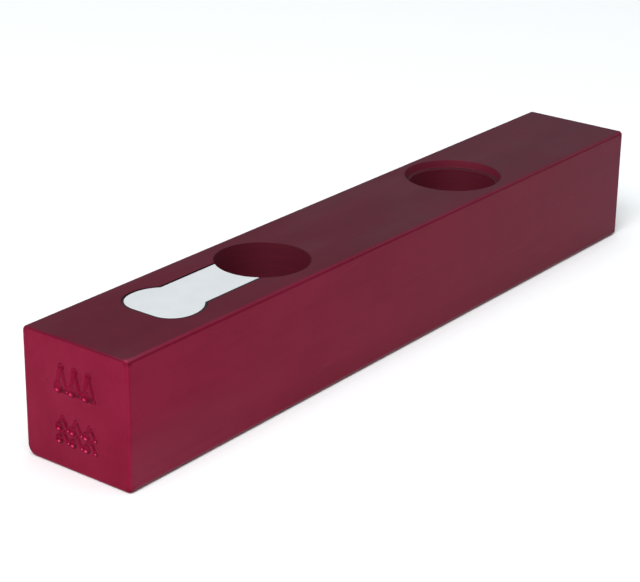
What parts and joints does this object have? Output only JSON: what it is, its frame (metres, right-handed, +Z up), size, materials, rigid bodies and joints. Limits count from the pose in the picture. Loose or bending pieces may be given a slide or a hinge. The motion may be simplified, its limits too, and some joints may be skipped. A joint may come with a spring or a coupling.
{
  "type": "ring work holding block",
  "caption": "Square anodised bar with two vertical bores, one with a shallow seat, and a flush white keyhole pad beside the other bore.",
  "frame": {"origin": "centre of the underside, where the bar rests on the bench", "axes": "+X along the bar away from the marked end, +Z up out of the bored top face, +Y to the back long side"},
  "size_m": [0.165, 0.025, 0.025],
  "materials": {
    "anodised_red": "satin dark red anodised",
    "pad_white": "fine matt, fly-cut flush",
    "bond_dark": "cured dark adhesive"
  },
  "bodies": {
    "root": {"bar_body": "anodised_red", "keyhole_pad": "pad_white", "pad_bond_line": "bond_dark"}
  },
  "joints": []
}
